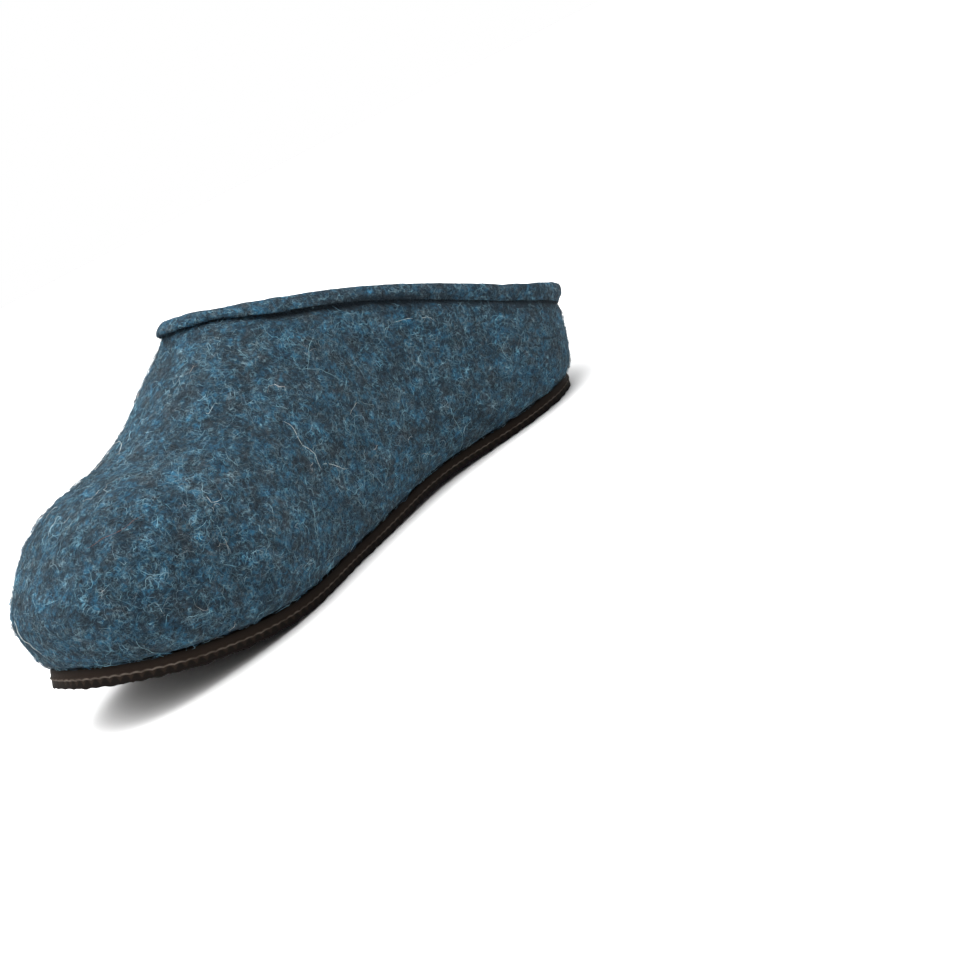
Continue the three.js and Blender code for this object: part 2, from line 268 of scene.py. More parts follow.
def smooth_column(column, scale):
    """Natural cubic curve through one column of the sole's table."""
    at = np.array([row[0] for row in SOLE_SECTIONS], float) * SOLE_LENGTH
    value = np.array([row[column] for row in SOLE_SECTIONS], float) * scale
    gap = np.diff(at)
    count = len(at)
    system = np.eye(count)
    change = np.zeros(count)
    for i in range(1, count - 1):
        system[i, i - 1 : i + 2] = gap[i - 1], 2 * (gap[i - 1] + gap[i]), gap[i]
        change[i] = 6 * ((value[i + 1] - value[i]) / gap[i] - (value[i] - value[i - 1]) / gap[i - 1])
    bend = np.linalg.solve(system, change)

    def curve(along):
        place = np.clip(along, at[0], at[-1])
        i = np.clip(np.searchsorted(at, place) - 1, 0, count - 2)
        a = (at[i + 1] - place) / gap[i]
        b = 1 - a
        sag = (a**3 - a) * bend[i] + (b**3 - b) * bend[i + 1]
        return a * value[i] + b * value[i + 1] + sag * gap[i] ** 2 / 6

    return curve


centre_at = smooth_column(1, BALL_WIDTH)
full_half_at = smooth_column(2, BALL_WIDTH)


def closing(distance, span, squareness):
    share = np.clip(distance / span, 0, 1)
    return (1 - (1 - share) ** squareness) ** (1 / squareness)


def half_width_at(along):
    heel_end = closing(along, HEEL_ROUND * SOLE_LENGTH, 2)
    toe_end = closing(SOLE_LENGTH - along, TOE_ROUND * SOLE_LENGTH, TOE_SQUARENESS)
    return full_half_at(along) * heel_end * toe_end


def heel_share(along):
    """How far a place is from the flat of the heel to the sole's back end."""
    return np.clip(HEEL_FLAT[0] - along / SOLE_LENGTH, 0, None) / HEEL_FLAT[0]


def toe_share(along):
    """How far a place is from the flat of the forefoot to the sole's front end."""
    return np.clip(along / SOLE_LENGTH - FORE_FLAT[1], 0, None) / (1 - FORE_FLAT[1])


def underside_at(along):
    """Height of the sole's underside above the floor."""
    heel = HEEL_BEVEL * heel_share(along) ** 2
    arch = np.clip((along / SOLE_LENGTH - HEEL_FLAT[1]) / (FORE_FLAT[0] - HEEL_FLAT[1]), 0, 1)
    toe = TOE_SPRING * toe_share(along) ** SPRING_POWER
    return heel + ARCH_RISE * np.sin(np.pi * arch) ** 2 + toe


def wall_lean_at(along):
    """Lean of the sole's side wall along the shoe for each millimetre below its top."""
    steepest = TOE_SPRING * SPRING_POWER / ((1 - FORE_FLAT[1]) * SOLE_LENGTH)
    toe = steepest * toe_share(along) ** (SPRING_POWER - 1)
    return HEEL_UNDERCUT / SOLE_THICKNESS * heel_share(along) + toe


def outline_ring(count):
    """Points of the sole's plan (x, along) from the toe over the inner side to the heel and back."""
    angle = 2 * np.pi * np.arange(count) / count
    along = SOLE_LENGTH * (1 + np.cos(angle)) / 2
    side = np.where(np.sin(angle) >= 0, 1, -1)
    return np.stack([centre_at(along) + side * half_width_at(along), along], 1)


def ring_normals(ring):
    """Unit vectors straight out of a closed plan outline."""
    ahead = np.roll(ring, -1, 0) - np.roll(ring, 1, 0)
    out = np.stack([-ahead[:, 1], ahead[:, 0]], 1)
    return out / np.linalg.norm(out, axis=1, keepdims=True)


def bent(points):
    """Flat sole points (x, along, height) in their place over the floor."""
    x, along, height = points.T
    below_top = SOLE_THICKNESS - height
    moved = along + wall_lean_at(along) * below_top
    deeper = TOE_DEEPENING * toe_share(along) * below_top / SOLE_THICKNESS
    level = underside_at(moved) + height - deeper
    return np.stack([x, SOLE_LENGTH / 2 - moved, level], 1)


def linked(name, data):
    """New object in the scene, with its data."""
    made = bpy.data.objects.new(name, data)
    bpy.context.collection.objects.link(made)
    return made


def new_object(name, points, faces):
    mesh = bpy.data.meshes.new(name)
    mesh.from_pydata((np.asarray(points) * MM).tolist(), [], faces)
    mesh.update()
    return linked(name, mesh)


def baked_copy(source, name):
    """Plain mesh object of what an object's modifiers make."""
    graph = bpy.context.evaluated_depsgraph_get()
    mesh = bpy.data.meshes.new_from_object(source.evaluated_get(graph))
    mesh.name = name
    return linked(name, mesh)


def drop(thing):
    bpy.data.objects.remove(thing, do_unlink=True)


def shade_smooth(thing, sharp_angle=None):
    thing.data.shade_smooth()
    if sharp_angle is not None:
        thing.data.set_sharp_from_angle(angle=sharp_angle)


def vectors_of(rows, key):
    flat = np.empty(len(rows) * 3, np.float32)
    rows.foreach_get(key, flat)
    return flat.reshape(-1, 3).astype(float)


def points_of(thing):
    return vectors_of(thing.data.vertices, "co") / MM


def normals_of(thing):
    return vectors_of(thing.data.vertex_normals, "vector")


def set_points(thing, points):
    thing.data.vertices.foreach_set("co", (points * MM).astype(np.float32).ravel())
    thing.data.update()


def store(thing, name, values):
    layer = thing.data.attributes.new(name, "FLOAT", "POINT")
    layer.data.foreach_set("value", np.asarray(values, np.float32))


def finish_piece(piece, node, material):
    """Places a finished piece on the shoe, for one CAD node where it stands for one."""
    piece.data.materials.clear()
    piece.data.materials.append(material)
    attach(piece, "root")
    if node:
        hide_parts(node)


def edited(thing, change):
    """Runs a change on an object's mesh while it is open for editing."""
    body = bmesh.new()
    body.from_mesh(thing.data)
    change(body)
    body.to_mesh(thing.data)
    body.free()


def smoothed_node(node, name):
    """Merged copy of a CAD node in quads, subdivided."""
    mesh = bpy.data.meshes.new(name + "_cage")
    cage = linked(name + "_cage", mesh)
    body = bmesh.new()
    body.from_mesh(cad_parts[node].data)
    bmesh.ops.remove_doubles(body, verts=body.verts, dist=MERGE_DISTANCE * MM)
    bmesh.ops.join_triangles(
        body, faces=body.faces, angle_face_threshold=QUAD_ANGLE, angle_shape_threshold=math.pi
    )
    body.to_mesh(mesh)
    body.free()
    rounding = cage.modifiers.new("rounding", "SUBSURF")
    rounding.levels = SUBDIVISIONS
    rounding.render_levels = SUBDIVISIONS
    made = baked_copy(cage, name)
    drop(cage)
    return made


def felt_lumps(points, size, seed):
    """Soft uneven surface between -1 and 1, with lumps of a size in millimetres."""
    shift = Vector([seed * step for step in SEED_STEPS])
    return np.array([noise.noise(Vector(point) / size + shift) for point in points.tolist()])


# Creases of the felt: places (x, y, z) of a soft line, its depth and its half width
CREASES = (
    (((30.7, 41.2, 67.6), (31.4, 35.9, 56.7), (31.9, 29.3, 45.3)), 1.1, 3.2),
    (((36.7, 68.9, 50.3), (37.6, 73.4, 42.5), (37.6, 72.4, 34.0)), 0.8, 5.0),
    (((24.2, -128.8, 52.8), (39.7, -122.5, 45.3), (48.4, -105.5, 38.9), (51.1, -84.3, 41.4)), 0.8, 8.0),
    (((51.1, -84.3, 41.4), (44.2, -46.0, 46.2), (38.0, -13.4, 34.4)), 1.1, 8.0),
    (((46.9, -99.5, 20.9), (47.4, -80.0, 13.6), (42.8, -48.7, 15.0)), -0.6, 6.0),
    (((9.2, -86.4, 74.0), (24.7, -79.9, 71.4), (32.3, -63.8, 69.7), (32.1, -42.5, 73.7)), 0.9, 6.0),
    (((16.0, -45.5, 87.9), (29.6, -46.2, 76.1), (41.7, -50.3, 56.9)), -0.7, 7.0),
    (((-30.0, -70.0, 66.0), (-14.0, -82.0, 74.0)), 0.8, 6.0),
    (((-42.0, 30.0, 62.0), (-43.5, 26.0, 46.0)), 0.9, 4.0),
    (((-40.0, 78.0, 48.0), (-41.0, 80.0, 34.0)), 0.7, 5.0),
)


def crease_depth(points):
    """How far the soft creases push the felt in at each point."""
    depth = np.zeros(len(points))
    for line, deep, wide in CREASES:
        line = np.array(line, float)
        nearest = np.full(len(points), np.inf)
        for start, end in zip(line[:-1], line[1:]):
            run = end - start
            share = np.clip((points - start) @ run / (run @ run), 0, 1)
            nearest = np.minimum(nearest, np.linalg.norm(points - start - share[:, None] * run, axis=1))
        depth += deep * np.exp(-((nearest / wide) ** 2))
    return depth


class SLIPPER_OT_upper(bpy.types.Operator):
    """Shapes the hollow felt upper with its soft lumps and creases"""

    bl_idname = "slipper.upper"
    bl_label = "Felt upper"

    def execute(self, context):
        felt = context.scene.slipper_felt
        upper = smoothed_node("upper", "felt_upper")
        points = points_of(upper)
        normals = normals_of(upper)
        lumps = felt_lumps(points, BROAD_LUMP, 1) * felt.relief / MM
        lumps += felt_lumps(points, FINE_LUMP, 2) * felt.fine_relief / MM
        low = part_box("upper")[0][2] / MM
        rise = underside_rise(points[:, 1])
        settle = np.clip((points[:, 2] - low - SETTLE_START - rise) / SETTLE_SPAN, 0, 1)
        groove = groove_share(points)
        push = (lumps - crease_depth(points)) * settle - GROOVE_PRESS * groove
        set_points(upper, eased(points + normals * push[:, None]))
        shade_smooth(upper)
        outside = outside_share(points, normals)
        above_sole = points[:, 2] - SOLE_THICKNESS - rise
        store(upper, "outside", outside * (groove < GROOVE_BARE))
        store(upper, "inside", 1 - outside)
        store(upper, "edge", outside * (above_sole < EDGE_BAND))
        # The groove attribute darkens the felt in its material, as painted shade along the seam
        store(upper, "groove", groove)
        finish_piece(upper, "upper", felt_material("felt", felt))
        return {"FINISHED"}


def groove_share(points):
    """1 where the binding's seam pulls the felt in, 0 away from it."""
    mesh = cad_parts["collar_binding"].data
    corners = [tuple(triangle.vertices) for triangle in mesh.polygons]
    tree = BVHTree.FromPolygons([vertex.co / MM for vertex in mesh.vertices], corners)
    distance = np.array([tree.find_nearest(Vector(point))[3] for point in points.tolist()])
    return np.exp(-((distance / GROOVE_WIDTH) ** 2)) * groove_strength(points[:, 1])


def soft_step(values, span):
    """Rises smoothly from 0 at the start of a span to 1 at its end."""
    start, end = span
    share = np.clip((values - start) / (end - start), 0, 1)
    return share * share * (3 - 2 * share)


def groove_strength(y):
    """The seam under the binding is shallow at the throat and deep along the sides."""
    return THROAT_GROOVE + (1 - THROAT_GROOVE) * soft_step(y, SIDE_FRONT)


def eased(points):
    """Collar points moved out round the heel, and back and up at the throat."""
    x, y, z = points.T
    heel = HEEL_EASE * soft_step(y, HEEL_EASE_Y) * soft_step(z, HEEL_EASE_Z)
    away = points[:, :2] - HEEL_HEART
    away /= np.linalg.norm(away, axis=1, keepdims=True)
    back = THROAT_EASE * soft_step(y, THROAT_EASE_Y) * np.exp(-(((z - THROAT_LEVEL) / THROAT_SPREAD) ** 2))
    rise = THROAT_RAISE * soft_step(y, THROAT_RAISE_Y) * soft_step(z, THROAT_RAISE_Z)
    return np.column_stack([x + away[:, 0] * heel, y + away[:, 1] * heel + back, z + rise])


def underside_rise(y):
    """Height of the sole's underside at a place along the shoe in the frame."""
    heel_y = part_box("outsole")[1][1] / MM
    return underside_at(np.clip(heel_y - y, 0, SOLE_LENGTH))


def outside_share(points, normals):
    """1 on the outer face of the hollow upper, 0 on its inner face and under it."""
    middle_y = np.clip(points[:, 1], -HEART_REACH, HEART_REACH)
    heart = np.stack([np.zeros(len(points)), middle_y, np.full(len(points), HEART_LEVEL)], 1)
    outward = ((points - heart) * normals).sum(1) > 0
    return np.where(outward & (normals[:, 2] > UNDERSIDE_FACING), 1.0, 0.0)


def rolled(points):
    """Binding points puffed out round the collar, and how far each lies in the shade of its roll."""
    middle = points[:, :2].mean(0)
    away = points[:, :2] - middle
    angle = np.arctan2(away[:, 1], away[:, 0])
    radius = np.linalg.norm(away, axis=1)
    bins = ((angle + math.pi) / (2 * math.pi) * BINDING_STATIONS).astype(int) % BINDING_STATIONS
    count = np.bincount(bins, minlength=BINDING_STATIONS)
    around = (np.arange(BINDING_STATIONS) + 0.5) / BINDING_STATIONS * 2 * math.pi - math.pi

    def line(values):
        mean = np.bincount(bins, values, minlength=BINDING_STATIONS) / np.maximum(count, 1)
        return np.interp(angle, around, mean, period=2 * math.pi)

    outer = np.clip(radius - line(radius), 0, BINDING_WALL) / BINDING_WALL
    height = np.clip((points[:, 2] - line(points[:, 2])) / BINDING_HALF, -1, 1)
    push = BINDING_PUFF * outer * (1 - 2 * height**4)
    side = soft_step(points[:, 1], SIDE_FRONT) * soft_step(points[:, 1], SIDE_BACK)
    shade = np.clip((SHADE_REACH * side - 1 - height) * 2, 0, 1)
    moved = np.column_stack([points[:, :2] + away / radius[:, None] * push[:, None], points[:, 2]])
    return moved, shade * np.clip(outer * 4, 0, 1)


class SLIPPER_OT_binding(bpy.types.Operator):
    """Rounds the felt strip folded over the collar edge"""

    bl_idname = "slipper.binding"
    bl_label = "Collar binding"

    def execute(self, context):
        felt = context.scene.slipper_felt
        binding = smoothed_node("collar_binding", "collar_binding_felt")
        points = points_of(binding)
        normals = normals_of(binding)
        lumps = sum(felt_lumps(points, size, seed) * height for size, seed, height in BINDING_LUMPS)
        moved, shade = rolled(points + normals * lumps[:, None])
        set_points(binding, eased(moved))
        shade_smooth(binding)
        # The roll's shade, weaker at the throat, is stored as groove and darkens the felt as painted shade
        groove = shade * groove_strength(points[:, 1])
        store(binding, "groove", groove)
        store(binding, "outside", groove < GROOVE_BARE)
        finish_piece(binding, "collar_binding", felt_material("binding_felt", felt))
        return {"FINISHED"}


class SLIPPER_OT_insole(bpy.types.Operator):
    """Softens the felt footbed"""

    bl_idname = "slipper.insole"
    bl_label = "Footbed"

    def execute(self, context):
        insole = smoothed_node("insole", "footbed_felt")
        shade_smooth(insole)
        store(insole, "outside", normals_of(insole)[:, 2] > FOOTBED_FACING)
        material = felt_material("insole_felt", context.scene.slipper_felt)
        finish_piece(insole, "insole", material)
        return {"FINISHED"}


def tread_tile(pitch, depth):
    """Hexagonal tile of three rhombic facets: its middle stands out, every other corner is deepest."""
    reach = pitch / math.sqrt(3)
    points = []
    faces = []
    for side in range(6):
        corners = []
        for turn in (side, side + 1):
            angle = math.pi / 6 + turn * math.pi / 3
            level = depth / 2 if turn % 2 else depth
            corners.append((reach * math.cos(angle), reach * math.sin(angle), level))
        corners = np.array([(0, 0, 0), corners[0], corners[1]], float)
        index = {}
        for i in range(TREAD_STEPS + 1):
            for j in range(TREAD_STEPS + 1 - i):
                weights = np.array([TREAD_STEPS - i - j, i, j]) / TREAD_STEPS
                index[i, j] = len(points)
                points.append(weights @ corners)
        for i in range(TREAD_STEPS):
            for j in range(TREAD_STEPS - i):
                faces.append((index[i, j], index[i + 1, j], index[i, j + 1]))
                if i + j < TREAD_STEPS - 1:
                    faces.append((index[i + 1, j], index[i + 1, j + 1], index[i, j + 1]))
    return new_object("tread_tile", points, faces)


class Tree:
    """Short way to add nodes to a tree and join them."""

    def __init__(self, tree):
        self.tree = tree

    def fill(self, node, inputs):
        """Sets the constant inputs of a node and links those that come from another node."""
        for key, value in inputs.items():
            if isinstance(value, bpy.types.NodeSocket):
                self.tree.links.new(value, node.inputs[key])
            else:
                node.inputs[key].default_value = value
        return node

    def add(self, kind, inputs=None, **settings):
        node = self.tree.nodes.new(kind)
        for name, value in settings.items():
            setattr(node, name, value)
        return self.fill(node, inputs or {})

    def math(self, operation, *values):
        return self.add("ShaderNodeMath", dict(enumerate(values)), operation=operation).outputs[0]

    plus = partialmethod(math, "ADD")
    minus = partialmethod(math, "SUBTRACT")
    times = partialmethod(math, "MULTIPLY")
    over = partialmethod(math, "DIVIDE")

    def gap(self, first, second):
        return self.math("ABSOLUTE", self.minus(first, second))

    def vector(self, operation, *values, output=0):
        node = self.add("ShaderNodeVectorMath", dict(enumerate(values)), operation=operation)
        return node.outputs[output]

    def scaled(self, vector, amount):
        return self.add("ShaderNodeVectorMath", {0: vector, "Scale": amount}, operation="SCALE").outputs[0]

    def combined(self, **parts):
        return self.add("ShaderNodeCombineXYZ", parts).outputs[0]

    def noise(self, output=0, **inputs):
        """Noise texture, in four dimensions where W is given."""
        dimensions = "4D" if "W" in inputs else "3D"
        return self.add("ShaderNodeTexNoise", inputs, noise_dimensions=dimensions).outputs[output]

    def span(self, value, low, high, to_low=0.0, to_high=1.0, kind="LINEAR"):
        """How far a value has come from low to high, as a share or between two other values."""
        inputs = {"Value": value, "From Min": low, "From Max": high, "To Min": to_low, "To Max": to_high}
        return self.add("ShaderNodeMapRange", inputs, interpolation_type=kind).outputs[0]

    def mix(self, factor, first, second):
        """Colour between two, each a linked one or red, green and blue."""
        inputs = {0: factor}
        for key, colour in ((6, first), (7, second)):
            inputs[key] = colour if isinstance(colour, bpy.types.NodeSocket) else (*colour, 1)
        return self.add("ShaderNodeMix", inputs, data_type="RGBA").outputs[2]

    def attribute(self, name):
        """Attribute of the mesh, in a material."""
        return self.add("ShaderNodeAttribute", attribute_name=name).outputs["Fac"]

    def stored(self, name):
        """Attribute of the mesh, in geometry nodes."""
        return self.add("GeometryNodeInputNamedAttribute", {"Name": name}, data_type="FLOAT").outputs[0]

    def tagged(self, geometry, name, value):
        inputs = {"Geometry": geometry, "Name": name, "Value": value}
        node = self.add("GeometryNodeStoreNamedAttribute", inputs, data_type="FLOAT", domain="POINT")
        return node.outputs[0]

    def random(self, seed, shift, low=0.0, high=1.0):
        inputs = {"Min": low, "Max": high, "Seed": self.plus(seed, shift)}
        node = self.add("FunctionNodeRandomValue", inputs, data_type="FLOAT")
        return [socket for socket in node.outputs if socket.enabled][0]

    def moved(self, geometry, **how):
        return self.add("GeometryNodeSetPosition", {"Geometry": geometry, **how}).outputs[0]

    def finish(self, geometry, material):
        """Output of a geometry node tree, with its material."""
        named = self.add("GeometryNodeSetMaterial", {"Geometry": geometry, "Material": material})
        self.add("NodeGroupOutput", {"Geometry": named.outputs[0]})


def new_tree(name, kind, inputs, output):
    """Node tree with input sockets, as names by kind, and one output, and what goes in."""
    tree = bpy.data.node_groups.new(name, kind)
    sockets = [(label, "INPUT", value_kind) for value_kind, labels in inputs.items() for label in labels]
    for label, way, value_kind in (*sockets, (output[0], "OUTPUT", output[1])):
        tree.interface.new_socket(name=label, in_out=way, socket_type="NodeSocket" + value_kind)
    t = Tree(tree)
    return t, t.add("NodeGroupInput").outputs


TREAD_INPUTS = {
    "Geometry": ("Geometry",),
    "Object": ("Tile",),
    "Float": ("Pitch",),
    "Int": ("Across", "Rows"),
    "Material": ("Material",),
}


def tread_tree():
    """Geometry nodes that lay tiles on a staggered grid."""
    t, given = new_tree("Tread Lattice", "GeometryNodeTree", TREAD_INPUTS, ("Geometry", "Geometry"))
    row_gap = t.times(given["Pitch"], math.sqrt(3) / 2)
    wide = t.times(given["Pitch"], t.minus(given["Across"], 1.0))
    tall = t.times(row_gap, t.minus(given["Rows"], 1.0))
    grid = t.add(
        "GeometryNodeMeshGrid",
        {"Size X": wide, "Size Y": tall, "Vertices X": given["Across"], "Vertices Y": given["Rows"]},
    )
    place = t.add("ShaderNodeSeparateXYZ", {"Vector": t.add("GeometryNodeInputPosition").outputs[0]})
    height = t.plus(place.outputs["Y"], t.over(tall, 2.0))
    odd = t.math("MODULO", t.math("ROUND", t.over(height, row_gap)), 2.0)
    shift = t.combined(X=t.times(odd, t.over(given["Pitch"], 2.0)))
    stagger = t.moved(grid.outputs["Mesh"], Offset=shift)
    tile = t.add("GeometryNodeObjectInfo", {"Object": given["Tile"]})
    laid = t.add("GeometryNodeInstanceOnPoints", {"Points": stagger, "Instance": tile.outputs["Geometry"]})
    real = t.add("GeometryNodeRealizeInstances", {"Geometry": laid.outputs[0]})
    merge = {"Geometry": real.outputs[0], "Distance": TILE_MERGE}
    t.finish(t.add("GeometryNodeMergeByDistance", merge).outputs[0], given["Material"])
    return t.tree


def run_nodes(target, tree, values, name):
    """Result of a geometry node tree on an object, as a plain mesh object."""
    modifier = target.modifiers.new(tree.name, "NODES")
    modifier.node_group = tree
    for item in tree.interface.items_tree:
        if item.item_type == "SOCKET" and item.in_out == "INPUT" and item.name in values:
            modifier[item.identifier] = values[item.name]
    made = baked_copy(target, name)
    target.modifiers.remove(modifier)
    return made


def soften(body):
    """Rounds the facets of the tread a little, straight up and down."""
    bmesh.ops.smooth_vert(
        body, verts=body.verts, factor=0.5, use_axis_x=False, use_axis_y=False, use_axis_z=True
    )


def tread_sheet(sole, material):
    """Staggered tread tiles over the whole plan of the sole."""
    pitch = sole.tread_pitch / MM
    tile = tread_tile(pitch, sole.tread_depth / MM)
    holder = new_object("tread_holder", [], [])
    values = {
        "Tile": tile,
        "Pitch": sole.tread_pitch,
        "Across": int(SHEET_WIDTH / pitch) + 2,
        "Rows": int(SHEET_LENGTH / (pitch * math.sqrt(3) / 2)) + 2,
        "Material": material,
    }
    sheet = run_nodes(holder, tread_tree(), values, "tread_sheet")
    drop(holder)
    drop(tile)
    edited(sheet, soften)
    points = points_of(sheet)
    points += (0, SOLE_LENGTH / 2, -points[:, 2].min())
    set_points(sheet, points)
    return sheet


def cut_tread(sheet, ring):
    """Tread inside the outline: its points, its faces and the numbers of its edge points in order."""
    points = points_of(sheet)
    corners = [tuple(face.vertices) for face in sheet.data.polygons]
    tree = BVHTree.FromPolygons([tuple(point) for point in points], corners)
    drop(sheet)
    x, along = points[:, 0], points[:, 1]
    inside = (along > TREAD_MARGIN) & (along < SOLE_LENGTH - TREAD_MARGIN)
    inside &= np.abs(x - centre_at(along)) < half_width_at(along) - TREAD_MARGIN
    kept = points[inside]
    up = Vector((0, 0, 1))
    edge = [tree.ray_cast(Vector((a, b, -SOLE_LENGTH)), up, 2 * SOLE_LENGTH)[0].z for a, b in ring]
    plan = [Vector(pair) for pair in ring] + [Vector(pair) for pair in kept[:, :2]]
    fence = [(i, (i + 1) % SOLE_COLUMNS) for i in range(SOLE_COLUMNS)]
    found, _, faces, origin, _, _ = delaunay_2d_cdt(plan, fence, [], 1, PLAN_MERGE)
    heights = np.concatenate([np.array(edge) * EDGE_TREAD, kept[:, 2]])
    flat = [(spot.x, spot.y, heights[source[0]]) for spot, source in zip(found, origin)]
    place_of = {source[0]: i for i, source in enumerate(origin)}
    return flat, [tuple(face) for face in faces], [place_of[i] for i in range(SOLE_COLUMNS)]


def raise_wall(flat, faces, first, ring):
    """Adds the side wall and the flat top to the tread, and gives the rows of the wall's points."""
    normals = ring_normals(ring)
    rows = [first]
    for out, height in SOLE_WALL:
        rows.append(list(range(len(flat), len(flat) + SOLE_COLUMNS)))
        flat.extend((a, b, height) for a, b in ring + normals * out)
    for low, high in zip(rows[:-1], rows[1:]):
        for i in range(SOLE_COLUMNS):
            j = (i + 1) % SOLE_COLUMNS
            faces.append((low[i], low[j], high[j], high[i]))
    top = rows[-1]
    for i in range(SOLE_COLUMNS // 2):
        rung = (top[i], top[i + 1], top[SOLE_COLUMNS - i - 1], top[(SOLE_COLUMNS - i) % SOLE_COLUMNS])
        faces.append(tuple(dict.fromkeys(rung)))
    return rows


def centre_on(points, node):
    """Moves points in plan to the middle of a CAD node's box."""
    low, high = (np.array(corner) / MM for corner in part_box(node))
    for axis in (0, 1):
        middle = (points[:, axis].min() + points[:, axis].max()) / 2
        points[:, axis] += (low[axis] + high[axis]) / 2 - middle


class SLIPPER_OT_outsole(bpy.types.Operator):
    """Cuts the rubber sole out of a sheet with a raised tread"""

    bl_idname = "slipper.outsole"
    bl_label = "Rubber sole"

    def execute(self, context):
        sole = context.scene.slipper_sole
        material = rubber_material(sole)
        ring = outline_ring(SOLE_COLUMNS)
        flat, faces, first = cut_tread(tread_sheet(sole, material), ring)
        rows = raise_wall(flat, faces, first, ring)
        flat = np.array(flat)
        points = bent(flat)
        centre_on(points, "outsole")
        piece = new_object("rubber_sole", points, faces)
        edited(piece, lambda body: bmesh.ops.recalc_face_normals(body, faces=body.faces))
        way = np.cumsum(np.linalg.norm(ring - np.roll(ring, 1, 0), axis=1))
        around = np.zeros(len(flat))
        for row in rows:
            around[row] = way
        store(piece, "height", flat[:, 2])
        store(piece, "around", around)
        shade_smooth(piece, SOLE_SHARP)
        finish_piece(piece, "outsole", material)
        return {"FINISHED"}


FIBRE_INPUTS = {
    "Geometry": ("Geometry",),
    "Float": ("Density", "Length", "Thickness", "Sweep", "Curl", "Curl Size", "Lift", "Hold"),
    "String": ("Mask",),
    "Int": ("Points", "Seed"),
    "Material": ("Material",),
}


def fibre_spots(t, given):
    """Points in loose clumps on the masked felt, each with a number of its own, and their rotation."""
    amount = t.span(t.noise(Scale=CLUMP_SCALE, Detail=2.0), *CLUMP_RANGE, to_high=CLUMP_MOST)
    spread = t.add(
        "GeometryNodeDistributePointsOnFaces",
        {
            "Mesh": given["Geometry"],
            "Selection": t.math("GREATER_THAN", t.stored(given["Mask"]), 0.5),
            "Density": t.times(given["Density"], amount),
            "Seed": given["Seed"],
        },
        distribute_method="RANDOM",
    )
    spots = t.tagged(spread.outputs["Points"], "fibre", t.random(given["Seed"], 11.0))
    return spots, spread.outputs["Rotation"]


def fibre_arc(t, given):
    """One fibre of length 1 as a row of points on an arc, each with its share of the way stored."""
    step = t.over(1.0, t.minus(given["Points"], 1.0))
    line = t.add(
        "GeometryNodeMeshLine",
        {"Count": given["Points"], "Start Location": (-0.5, 0, 0), "Offset": t.combined(X=step)},
        mode="OFFSET",
    )
    share = t.times(t.add("GeometryNodeInputIndex").outputs[0], step)
    angle = t.times(given["Sweep"], t.minus(share, 0.5))
    arc_x = t.over(t.math("SINE", angle), given["Sweep"])
    arc_y = t.over(t.minus(1.0, t.math("COSINE", angle)), given["Sweep"])
    return t.moved(t.tagged(line.outputs[0], "run", share), Position=t.combined(X=arc_x, Y=arc_y))


def laid_fibres(t, given):
    """Arcs on all the points, turned, stretched and bent to either side by chance."""
    spots, rotation = fibre_spots(t, given)
    bulge = t.random(given["Seed"], 47.0, -1.0, 1.0)
    turn = t.combined(Z=t.random(given["Seed"], 23.0, 0.0, 2 * math.pi))
    spin = t.add("FunctionNodeEulerToRotation", {0: turn})
    aim = t.add(
        "FunctionNodeRotateRotation",
        {"Rotation": rotation, "Rotate By": spin.outputs[0]},
        rotation_space="LOCAL",
    )
    stretch = t.plus(0.5, t.random(given["Seed"], 31.0))
    long = t.times(given["Length"], stretch)
    laid = t.add(
        "GeometryNodeInstanceOnPoints",
        {
            "Points": spots,
            "Instance": fibre_arc(t, given),
            "Rotation": aim.outputs[0],
            "Scale": t.combined(X=long, Y=t.times(long, bulge), Z=1.0),
        },
    )
    return t.add("GeometryNodeRealizeInstances", {"Geometry": laid.outputs[0]}).outputs[0]


def curled(t, given, fibres, place):
    """Fibres pushed about, each by its own part of a noise."""
    wander = t.noise(
        "Color",
        Vector=place,
        W=t.times(t.stored("fibre"), 900.0),
        Scale=t.over(1.0, given["Curl Size"]),
        Detail=1.0,
        Roughness=0.5,
    )
    centred = t.vector("SUBTRACT", wander, (0.5, 0.5, 0.5))
    return t.moved(fibres, Offset=t.scaled(centred, t.times(given["Curl"], 4.0)))


def settled(t, given, fibres, place):
    """Fibres drawn back to the felt, where they rise and sink a little as they run."""
    felt = given["Geometry"]
    near_inputs = {"Geometry": felt, "Sample Position": place}
    near = t.add("GeometryNodeProximity", near_inputs, target_element="FACES")
    normal = t.add("GeometryNodeInputNormal").outputs[0]
    facing = t.add(
        "GeometryNodeSampleNearestSurface",
        {"Mesh": felt, "Value": normal, "Sample Position": place},
        data_type="FLOAT_VECTOR",
    )
    own = t.times(t.stored("fibre"), 300.0)
    wave = t.noise(Vector=place, W=own, Scale=WAVE_SCALE, Detail=0.0)
    lift = t.times(given["Lift"], t.minus(t.times(wave, 3.0), 0.95))
    over = t.vector("ADD", near.outputs["Position"], t.scaled(facing.outputs[0], lift))
    held = t.add("ShaderNodeMix", {0: given["Hold"], 4: place, 5: over}, data_type="VECTOR")
    return t.moved(fibres, Position=held.outputs[1])


def spindles(t, given, fibres):
    """Thin closed tubes along the fibres, thinner toward both ends."""
    curve = t.add("GeometryNodeMeshToCurve", {"Mesh": fibres})
    middle = t.gap(t.times(t.stored("run"), 2.0), 1.0)
    taper = t.minus(1.0, t.times(t.math("POWER", middle, 3.0), 0.8))
    radius = t.times(t.times(given["Thickness"], 0.5), taper)
    thin = t.add("GeometryNodeSetCurveRadius", {"Curve": curve.outputs[0], "Radius": radius})
    ring = t.add("GeometryNodeCurvePrimitiveCircle", {"Resolution": 3, "Radius": 1.0}, mode="RADIUS")
    tube = t.add(
        "GeometryNodeCurveToMesh",
        {
            "Curve": thin.outputs[0],
            "Profile Curve": ring.outputs["Curve"],
            "Scale": t.add("GeometryNodeInputRadius").outputs[0],
            "Fill Caps": True,
        },
    )
    return t.add("GeometryNodeRealizeInstances", {"Geometry": tube.outputs[0]}).outputs[0]


